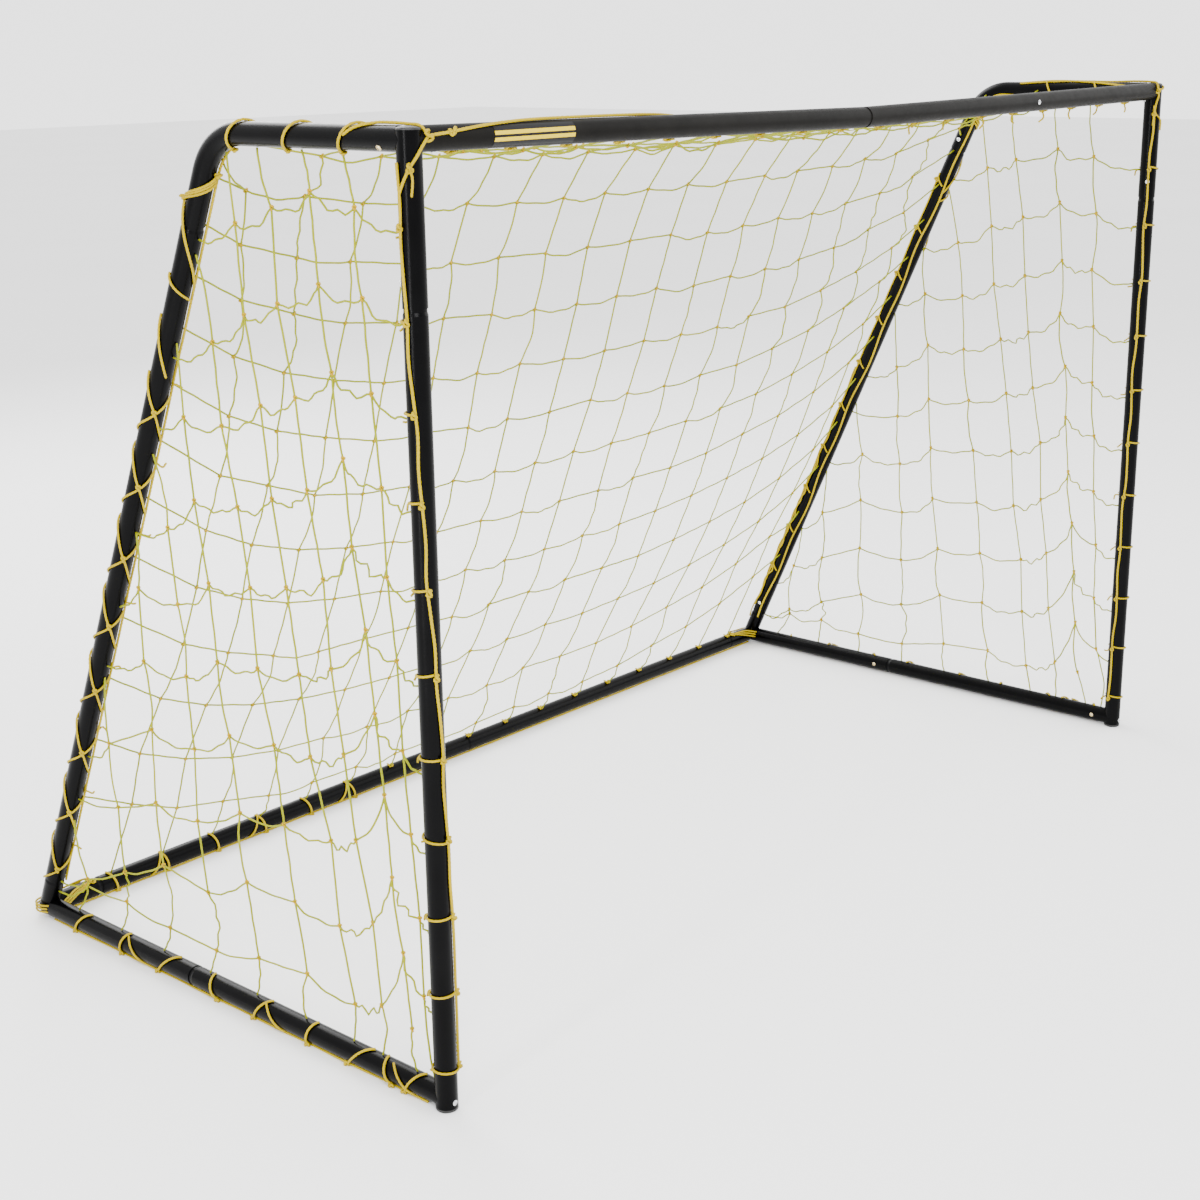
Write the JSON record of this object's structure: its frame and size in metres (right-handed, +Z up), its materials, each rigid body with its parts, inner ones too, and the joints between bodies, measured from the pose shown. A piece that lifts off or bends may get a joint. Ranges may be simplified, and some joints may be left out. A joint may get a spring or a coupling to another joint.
{
  "type": "soccer goal",
  "caption": "Garden soccer goal: black tubular steel frame with posts, crossbar, sloping rear stanchions and ground bars, with a yellow knotted net laced on.",
  "frame": {"origin": "on the ground at the middle of the object's footprint, half way between the posts and between front and rear", "axes": "+X along the goal line towards the right post as seen from the pitch, +Y from the goal mouth to the rear, +Z up"},
  "size_m": [2.1393, 1.0544, 1.4],
  "materials": {
    "frame_black": "satin black powder coat",
    "cap_plastic": "moulded black plastic",
    "bright_zinc": "bright zinc plate",
    "yellow_zinc": "yellow zinc plate",
    "label": null,
    "net_twine": "knotted polyethylene twine",
    "border_cord": "laid polyethylene cord"
  },
  "bodies": {
    "root": {"left_post_upper": "frame_black", "right_post_upper": "frame_black", "left_post_lower": "frame_black", "right_post_lower": "frame_black", "crossbar_left": "frame_black", "crossbar_right": "frame_black", "left_top_bar": "frame_black", "right_top_bar": "frame_black", "left_stanchion": "frame_black", "right_stanchion": "frame_black", "left_rear_corner": "frame_black", "right_rear_corner": "frame_black", "left_side_ground_bar": "frame_black", "right_side_ground_bar": "frame_black", "rear_ground_bar_left": "frame_black", "rear_ground_bar_right": "frame_black", "post_top_caps": "cap_plastic", "post_foot_caps": "cap_plastic", "crossbar_screws": "bright_zinc", "post_screws": "bright_zinc", "foot_screws": "bright_zinc", "top_bar_screws": "yellow_zinc", "stanchion_screws": "bright_zinc", "ground_bar_screws": "yellow_zinc", "rear_bar_screws": "bright_zinc", "crossbar_label": "label", "left_side_net": "net_twine", "right_side_net": "net_twine", "back_net": "net_twine", "left_post_cord": "border_cord", "right_post_cord": "border_cord", "crossbar_cord": "border_cord", "left_rear_cord": "border_cord", "right_rear_cord": "border_cord", "left_ground_cord": "border_cord", "right_ground_cord": "border_cord", "rear_ground_cord": "border_cord"}
  },
  "joints": []
}
